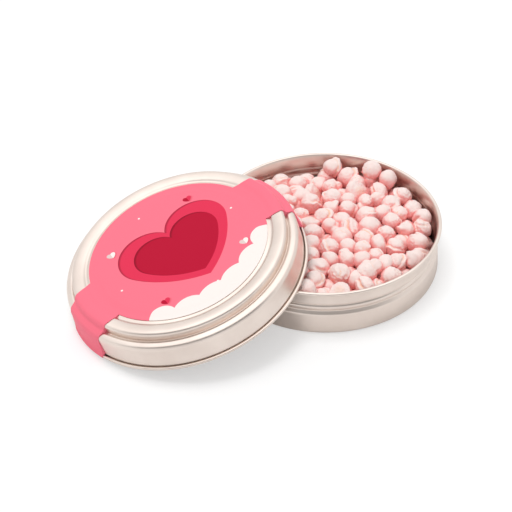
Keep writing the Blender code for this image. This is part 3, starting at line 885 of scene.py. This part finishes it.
class SWEETTIN_OT_label(bpy.types.Operator):
    """Cut the printed paper label and stick it over the lid, its two tabs down the side wall"""

    bl_idname = "sweet_tin.label"
    bl_label = "Make Label"

    def execute(self, context):
        settings = context.scene.sweet_tin
        sheet, lid, label = settings.sheet, settings.lid, settings.label
        edge = lid_radii(settings.base, lid, sheet)[-1]
        face = label_path(settings.base, lid, sheet, label.gap + label.paper, label.press)
        back = label_path(settings.base, lid, sheet, label.gap, 1.0)
        piece = turned_sheet("paper_label", face + back[::-1], sheet.segments)
        outline = label_outline(edge + label.paper, face[-1][0], label, sheet.segments // 2)
        cut_label(piece, outline, 2 * lid.height)
        map_print(piece, face[0][1], label.unroll)
        finish_piece(piece, printed_paper(settings.colours, label), sheet.sharp, lid_place())
        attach(piece, "lid")
        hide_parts("seal_label")
        return {"FINISHED"}


def ball_reach(ways, centre, radius):
    """How far out of the origin a ball reaches along each way, and 0 where it isn't met."""
    along = ways @ centre
    square = along ** 2 - centre @ centre + radius ** 2
    return np.where((square > 0) & (along > -radius), along + np.sqrt(np.maximum(square, 0)), 0)


def random_way(rng):
    """Any direction, of length 1."""
    way = rng.normal(size=3)
    return way / np.linalg.norm(way)


def noise_along(ways, scale, shift):
    """Smooth noise from about -1 to 1 over a sphere."""
    return np.array([noise.noise(Vector(way) * scale + shift) for way in ways])


def step_up(values, width):
    """0 well below zero, 1 well above it, and a smooth step of about that width between."""
    return 1 / (1 + np.exp(-np.clip(values / width, -40, 40)))


def ridge(values, middle, width):
    """1 at the middle, falling off smoothly to either side."""
    return np.exp(-(((values - middle) / width) ** 2))


def cupped_sweet(ways, shift, rng):
    """A ball that sits in a torn cup: the cup's soft lip stands proud, with a crack inside it."""
    side = ways[:, 2] - rng.uniform(-0.15, 0.35) + 0.18 * noise_along(ways, 1.7, shift)
    torn = step_up(ways @ random_way(rng) + rng.uniform(0.0, 0.6), 0.14)
    ball = ball_reach(ways, np.array((0.0, 0.0, 0.12)), 0.84)
    lip = 0.12 * ridge(side, -0.12, 0.17)
    groove = 0.07 * ridge(side, 0.1, 0.08)
    cup = 0.95 + (ball - 0.95) * step_up(side, 0.04) + lip - groove
    return 0.95 + (cup - 0.95) * torn, torn * ridge(side, 0.08, 0.08)


def split_sweet(ways, shift, rng):
    """An egg with a crack along it, between two thick soft lips."""
    egg = 1 / np.sqrt((ways[:, 0] / 1.16) ** 2 + (ways[:, 1] / 0.94) ** 2 + (ways[:, 2] / 0.86) ** 2)
    side = ways[:, 1] + 0.18 * noise_along(ways, 1.5, shift)
    front = step_up(ways[:, 2] - 0.05, 0.1) * step_up(rng.uniform(0.5, 0.85) - np.abs(ways[:, 0]), 0.08)
    lips = 0.12 * ridge(np.abs(side), 0.3, 0.2)
    groove = 0.22 * ridge(side, 0, 0.12)
    return egg * (1 + front * (lips - groove)), front * ridge(side, 0, 0.1)


def winged_sweet(ways, shift, rng):
    """A ball with a thick soft flange that was squeezed out round part of it."""
    side = ways[:, 2] + 0.2 * noise_along(ways, 1.8, shift)
    part = step_up(ways[:, 0] - rng.uniform(-0.5, 0.3), 0.14)
    flange = rng.uniform(0.2, 0.32) * ridge(side, 0, 0.2)
    return 0.9 + part * (flange - 0.06 * ridge(side, 0.36, 0.1)), 0.7 * part * ridge(side, 0.34, 0.09)


def twin_sweet(ways, shift, rng):
    """Two or three balls that grew together."""
    size = rng.uniform(0.55, 0.75)
    balls = [
        ball_reach(ways, np.array((-0.3, 0.0, 0.0)), 0.85),
        ball_reach(ways, np.array((0.62, 0.1, 0.0)), size),
        ball_reach(ways, np.array((0.1, 0.45, 0.35)), rng.uniform(0.4, 0.6)),
    ]
    reach = sum(ball ** 20 for ball in balls) ** (1 / 20)
    return reach, 0.6 * ridge(balls[0] - balls[1], 0, 0.1)


def petal_sweet(ways, shift, rng):
    """A flat piece with a thick wavy rim and a soft middle."""
    bowl = 1 / np.sqrt(ways[:, 0] ** 2 + (ways[:, 1] / 0.85) ** 2 + (ways[:, 2] / 0.6) ** 2)
    rim = ridge(ways[:, 2], 0.35 + 0.1 * noise_along(ways, 2.0, shift), 0.16)
    return bowl * (1 + 0.12 * rim), 0.6 * step_up(ways[:, 2] - 0.65, 0.1)


def crumpled_sweet(ways, shift, rng):
    """A ball that is crumpled all over one side."""
    part = step_up(ways @ random_way(rng) + 0.1, 0.2)
    folds = np.abs(noise_along(ways, 2.6, shift))
    return 1 + part * (0.16 * folds - 0.06), part * ridge(folds, 0, 0.07)


SWEET_KINDS = (
    cupped_sweet, crumpled_sweet, winged_sweet, cupped_sweet,
    split_sweet, twin_sweet, cupped_sweet, petal_sweet,
)


def note_on_points(mesh, name, values):
    """Note a number on each point of a mesh, for its finish to read."""
    noted = mesh.attributes.new(name, "FLOAT", "POINT")
    noted.data.foreach_set("value", values.astype(np.float32))


def sweet_form(index, detail, rng):
    """One sweet of about unit radius with its open side up, and its creases noted on its points."""
    bpy.ops.object.select_all(action="DESELECT")
    bpy.ops.mesh.primitive_ico_sphere_add(subdivisions=detail, radius=1.0)
    form = start_piece(f"sweet_form_{index}")
    points = mesh_points(form.data)
    ways = points / np.linalg.norm(points, axis=1)[:, None]
    shift = Vector(rng.uniform(0, 50, 3))
    reach, crease = SWEET_KINDS[index % len(SWEET_KINDS)](ways, shift, rng)

    dents = noise_along(ways, 1.4, shift)
    wrinkles = noise_along(ways, 4.5, shift)
    pits = noise_along(ways, 9.0, shift)
    crumpled = step_up(noise_along(ways, 1.2, shift * 2) - 0.15, 0.06)
    rough = (0.03 + 0.035 * crumpled) * wrinkles + (0.02 + 0.014 * crumpled) * pits
    reach = reach * (1 + 0.08 * dents + rough)
    for _ in range(rng.integers(0, 3)):
        away = np.arccos(np.clip(ways @ random_way(rng), -1, 1))
        reach = reach + rng.uniform(0.06, 0.16) * ridge(away, 0, 0.35)
    crease = np.maximum(crease, crumpled * np.clip(-1.2 * wrinkles, 0, 0.5))

    points = ways * reach[:, None]
    half = (points.max(axis=0) - points.min(axis=0)).mean() / 2
    points -= (points.max(axis=0) + points.min(axis=0)) / 2
    form.data.vertices.foreach_set("co", (points / half).ravel())
    note_on_points(form.data, "crease", crease)
    form.data.update()
    bpy.ops.object.shade_smooth()
    return form


def note_painted_shade(piece, centres, radii):
    """Note on each point how much of the air above it the other sweets and the wall take, from 0 to 1, and
    more on faces that look aside or down: the painted shade of the sugar.
    """
    points = mesh_points(piece.data)
    normals = np.empty(points.size)
    piece.data.vertex_normals.foreach_get("vector", normals)
    normals = normals.reshape(-1, 3)
    middle = (points.max(axis=0) + points.min(axis=0)) / 2
    near = np.linalg.norm(centres - middle, axis=1) < SHELTER_REACH
    outward = points[:, :2] / np.maximum(np.linalg.norm(points[:, :2], axis=1), MM)[:, None]
    to_wall = np.clip((normals[:, :2] * outward).sum(axis=1), 0, 1)
    beside_wall = step_up(np.linalg.norm(points[:, :2], axis=1) - WALL_SHELTER, WALL_BLUR)
    ways = centres[None, near] - points[:, None]
    distance = np.linalg.norm(ways, axis=2)
    facing = np.clip((ways * normals[:, None]).sum(axis=2) / distance, 0, 1)
    taken = (facing * np.minimum(1, radii[near] / distance) ** 2).sum(axis=1)
    # Painted shade: faces that look at the wall or tilt away from overhead get more, so the crowns stay pale
    taken += WALL_SHARE * to_wall * beside_wall + TILT_SHARE * (1 - normals[:, 2])
    note_on_points(piece.data, "painted_shade", np.clip(taken, 0, 1))


def heap_top(places, tops):
    """Height of the loose sweets' centres around each place."""
    away = ((places[:, None, :2] - tops[None, :, :2]) ** 2).sum(axis=2)
    nearness = np.exp(-away / (2 * HEAP_BLUR ** 2)) + FAINT
    return (nearness @ tops[:, 2]) / nearness.sum(axis=1)


def lying(rng):
    """Any turn about the upright, and then a tilt that still leaves the open side up or aside."""
    tilt = Matrix.Rotation(rng.uniform(0.2, 1.35), 4, Vector((*rng.normal(size=2), 0)))
    return tilt @ Matrix.Rotation(rng.uniform(0, 2 * math.pi), 4, "Z")


def laid_sweets(names, chosen, detail, centres, radii, sweets, rng):
    """Sweets in the chosen places: copies of the forms, each with a mesh of its own, turned at random."""
    forms = [sweet_form(i, detail, rng) for i in range(sweets.forms)]
    pieces = []
    for number, (name, i) in enumerate(zip(names, chosen)):
        mesh = forms[number % len(forms)].data.copy()
        mesh.transform(Matrix.Translation(centres[i]) @ lying(rng) @ Matrix.Scale(radii[i], 4))
        piece = bpy.data.objects.new(name, mesh)
        bpy.context.collection.objects.link(piece)
        pieces.append(piece)
    for form in forms:
        bpy.data.objects.remove(form)
    return pieces


def keep_in_well(mesh, sweets):
    """Draw the points of a lump in from the tin's wall and up from its floor."""
    points = mesh_points(mesh)
    out = np.linalg.norm(points[:, :2], axis=1)
    points[:, :2] *= np.minimum(1, sweets.well_radius / np.maximum(out, MM))[:, None]
    points[:, 2] = np.maximum(points[:, 2], sweets.well_floor)
    mesh.vertices.foreach_set("co", points.ravel())
    mesh.update()


def loose_places():
    """Centre and mean radius of each loose sweet of the frame."""
    places = []
    for node in LOOSE_SWEETS:
        low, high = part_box(node)
        places.append(((low + high) / 2, sum(high - low) / 6))
    return places


def heap_places(sweets):
    """Centres and radii of all sweets: the loose ones, the crown, then those between, pushed apart."""
    rng = np.random.default_rng(sweets.seed)
    loose = loose_places()
    tops = np.array([centre for centre, _ in loose])
    crown = np.array([sweets.crown_back, sweets.crown_right, sweets.crown_low])
    fixed = np.vstack([tops, crown])
    total = sweets.between
    radii = rng.uniform(sweets.smallest, sweets.largest, total)
    index = np.arange(total)
    turn = index * math.pi * (3 - math.sqrt(5))
    out = (sweets.well_radius - sweets.largest) * np.sqrt((index + 0.5) / total)
    free = np.column_stack([out * np.cos(turn), out * np.sin(turn), np.zeros(total)])
    room = heap_top(free, tops) + sweets.ceiling - sweets.well_floor - radii
    free[:, 2] = sweets.well_floor + radii + room * rng.uniform(0, 1, total)
    every_radius = np.concatenate([
        [radius * sweets.swell for _, radius in loose], np.full(len(crown), sweets.crown_radius), radii
    ])
    for _ in range(sweets.pushes):
        every = np.vstack([fixed, free])
        apart = free[:, None, :] - every[None, :, :]
        distance = np.linalg.norm(apart, axis=2) + HAIR
        overlap = (radii[:, None] + every_radius[None, :]) * sweets.closeness - distance
        overlap[index, index + len(fixed)] = 0
        push = (apart / distance[..., None] * np.clip(overlap, 0, None)[..., None]).sum(axis=1)
        free += PUSH_SHARE * push
        free[:, 2] += sweets.lift
        spread = np.linalg.norm(free[:, :2], axis=1)
        most = sweets.well_radius - radii
        free[:, :2] *= np.minimum(1, most / np.maximum(spread, HAIR))[:, None]
        free[:, 2] = np.clip(free[:, 2], sweets.well_floor + radii, heap_top(free, tops) + sweets.ceiling)
    return np.vstack([fixed, free]), every_radius


class SWEETTIN_OT_loose_sweets(bpy.types.Operator):
    """Model the loose sweets of the top layer, each a folded and sugared lump of its own"""

    bl_idname = "sweet_tin.loose_sweets"
    bl_label = "Make Loose Sweets"

    def execute(self, context):
        settings = context.scene.sweet_tin
        sweets = settings.sweets
        rng = np.random.default_rng(sweets.seed + 1)
        material = pink_sugar(settings.colours)
        centres, radii = heap_places(sweets)
        names = [node.replace("loose", "sugared") for node in LOOSE_SWEETS]
        pieces = laid_sweets(names, range(len(names)), sweets.loose_detail, centres, radii, sweets, rng)
        for node, piece in zip(LOOSE_SWEETS, pieces):
            piece.data.materials.append(material)
            note_painted_shade(piece, centres, radii)
            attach(piece, "base")
            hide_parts(node)
        return {"FINISHED"}


class SWEETTIN_OT_heap(bpy.types.Operator):
    """Fill the tin with the sweets that lie under and between the loose ones"""

    bl_idname = "sweet_tin.heap"
    bl_label = "Make Heap"

    def execute(self, context):
        sweets = context.scene.sweet_tin.sweets
        rng = np.random.default_rng(sweets.seed + 2)
        centres, radii = heap_places(sweets)
        tops = centres[:len(LOOSE_SWEETS)]
        shown = centres[:, 2] > heap_top(centres, tops) - sweets.shown_depth
        hidden = ~shown
        shown[:len(LOOSE_SWEETS)] = False
        hidden[:len(LOOSE_SWEETS)] = False
        lower, upper = np.flatnonzero(hidden), np.flatnonzero(shown)
        self.make_lumps(context, "sugared_heap_low", lower, sweets.hidden_detail, centres, radii, rng)
        for start in range(0, len(upper), sweets.lumps_in_piece):
            name = f"sugared_heap_{start // sweets.lumps_in_piece + 1}"
            chosen = upper[start:start + sweets.lumps_in_piece]
            self.make_lumps(context, name, chosen, sweets.shown_detail, centres, radii, rng)
        return {"FINISHED"}

    def make_lumps(self, context, name, chosen, detail, centres, radii, rng):
        """Join the chosen sweets of the heap in one piece."""
        sweets = context.scene.sweet_tin.sweets
        names = [f"lump_{i}" for i in chosen]
        lumps = laid_sweets(names, chosen, detail, centres, radii, sweets, rng)
        bpy.ops.object.select_all(action="DESELECT")
        for lump in lumps:
            keep_in_well(lump.data, sweets)
            note_painted_shade(lump, centres, radii)
            lump.select_set(True)
        context.view_layer.objects.active = lumps[0]
        bpy.ops.object.join()
        piece = start_piece(name)
        piece.data.materials.append(bpy.data.materials["pink sugar"])
        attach(piece, "base")
        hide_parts("sweets_bed")


class SWEETTIN_OT_stage(bpy.types.Operator):
    """Lay the pale floor and set the soft lamp, the plain sky and the camera"""

    bl_idname = "sweet_tin.stage"
    bl_label = "Make Stage"

    def execute(self, context):
        settings = context.scene.sweet_tin
        self.make_floor(settings.stage, settings.colours)
        self.make_sky(context, settings.stage)
        self.make_lamp(context, settings.stage)
        self.make_camera(context, settings.stage)
        context.scene.view_settings.view_transform = "Standard"
        return {"FINISHED"}

    def make_floor(self, stage, colours):
        bpy.ops.object.select_all(action="DESELECT")
        bpy.ops.mesh.primitive_plane_add(size=2 * stage.floor_reach)
        floor = start_piece("studio_floor")
        finish = Finish("studio floor", {"Roughness": 0.9, "Specular IOR Level": 0.1})
        seen = finish.ray("Camera")
        shown = finish.ray("Glossy", "Transmission")
        paint_in_view = tuple(channel * stage.floor_in_view for channel in colours.floor)
        finish.feed(finish.shader, {"Base Color": finish.blend(seen, colours.floor, paint_in_view)})
        strength = seen * stage.floor_glow + shown * stage.floor_shine
        glow = finish.node("ShaderNodeEmission", inputs={"Strength": strength})
        both = finish.node("ShaderNodeAddShader")
        finish.tree.links.new(finish.shader.outputs[0], both.output.node.inputs[0])
        finish.tree.links.new(glow.output, both.output.node.inputs[1])
        finish.tree.links.new(both.output, finish.tree.nodes["Material Output"].inputs["Surface"])
        floor.data.materials.append(finish.material)

    def make_sky(self, context, stage):
        """A plain sky, brighter overhead; metal also shows a darker wall on the near side."""
        world = bpy.data.worlds.new("plain sky")
        sky = NodeTree(world)
        _, back, up = sky.parts(sky.node("ShaderNodeTexCoord", output="Generated"))
        overhead = up.eased(*OVERHEAD)
        dark_wall = up.eased(*DARK_FOOT) * (1.0 - up.eased(*DARK_TOP)) * back.eased(*DARK_SIDE)
        light = stage.sky + stage.sky_rise * overhead
        shown = stage.backdrop + stage.backdrop_rise * overhead - stage.dark_wall * dark_wall
        metal = sky.ray("Glossy", "Transmission")
        seen = sky.ray("Camera")
        strength = light + metal * (shown - light) + seen * (stage.backdrop - light)
        sky.feed(sky.tree.nodes["Background"], {"Color": (1.0, 1.0, 1.0), "Strength": strength})
        context.scene.world = world

    def make_lamp(self, context, stage):
        """A square lamp that faces the base's foot and that metal doesn't show."""
        data = bpy.data.lights.new("key_lamp", "AREA")
        data.size = stage.lamp_width
        data.energy = stage.lamp_power
        lamp = bpy.data.objects.new("key_lamp", data)
        place = Vector(stage.lamp_place)
        turn = (-place).to_track_quat("-Z", "Y").to_matrix().to_4x4()
        lamp.matrix_world = Matrix.Translation(place) @ turn
        lamp.visible_glossy = False
        context.collection.objects.link(lamp)

    def make_camera(self, context, stage):
        data = bpy.data.cameras.new("camera")
        data.lens = stage.camera_lens
        data.clip_start = 10 * MM
        camera = bpy.data.objects.new("camera", data)
        turn = Matrix.Rotation(stage.camera_tilt, 4, "X") @ Matrix.Rotation(stage.camera_roll, 4, "Z")
        camera.matrix_world = Matrix.Translation(stage.camera_place) @ turn
        context.collection.objects.link(camera)
        context.scene.camera = camera


OPERATORS = (
    SWEETTIN_OT_base,
    SWEETTIN_OT_lid,
    SWEETTIN_OT_label,
    SWEETTIN_OT_loose_sweets,
    SWEETTIN_OT_heap,
    SWEETTIN_OT_stage,
)


class SWEETTIN_PT_panel(bpy.types.Panel):
    """Sizes, colours and buttons of the tin"""

    bl_idname = "SWEETTIN_PT_panel"
    bl_label = "Sweet Tin"
    bl_space_type = "VIEW_3D"
    bl_region_type = "UI"
    bl_category = "Sweet Tin"

    def draw(self, context):
        settings = context.scene.sweet_tin
        for operator in OPERATORS:
            self.layout.operator(operator.bl_idname)
        for group in TinSettings.__annotations__:
            box = self.layout.box()
            box.label(text=group.capitalize())
            part = getattr(settings, group)
            for size in type(part).__annotations__:
                box.prop(part, size)


CLASSES = (
    SheetSizes,
    BaseSizes,
    LidSizes,
    LabelSizes,
    SweetSizes,
    Colours,
    StageSettings,
    TinSettings,
    *OPERATORS,
    SWEETTIN_PT_panel,
)


def register():
    for made in CLASSES:
        bpy.utils.register_class(made)
    bpy.types.Scene.sweet_tin = bpy.props.PointerProperty(type=TinSettings)


def unregister():
    del bpy.types.Scene.sweet_tin
    for made in reversed(CLASSES):
        bpy.utils.unregister_class(made)


def main():
    """Make every piece in order."""
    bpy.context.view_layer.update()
    register()
    bpy.ops.sweet_tin.base()
    bpy.ops.sweet_tin.lid()
    bpy.ops.sweet_tin.label()
    bpy.ops.sweet_tin.loose_sweets()
    bpy.ops.sweet_tin.heap()
    bpy.ops.sweet_tin.stage()


if __name__ == "__main__":
    main()
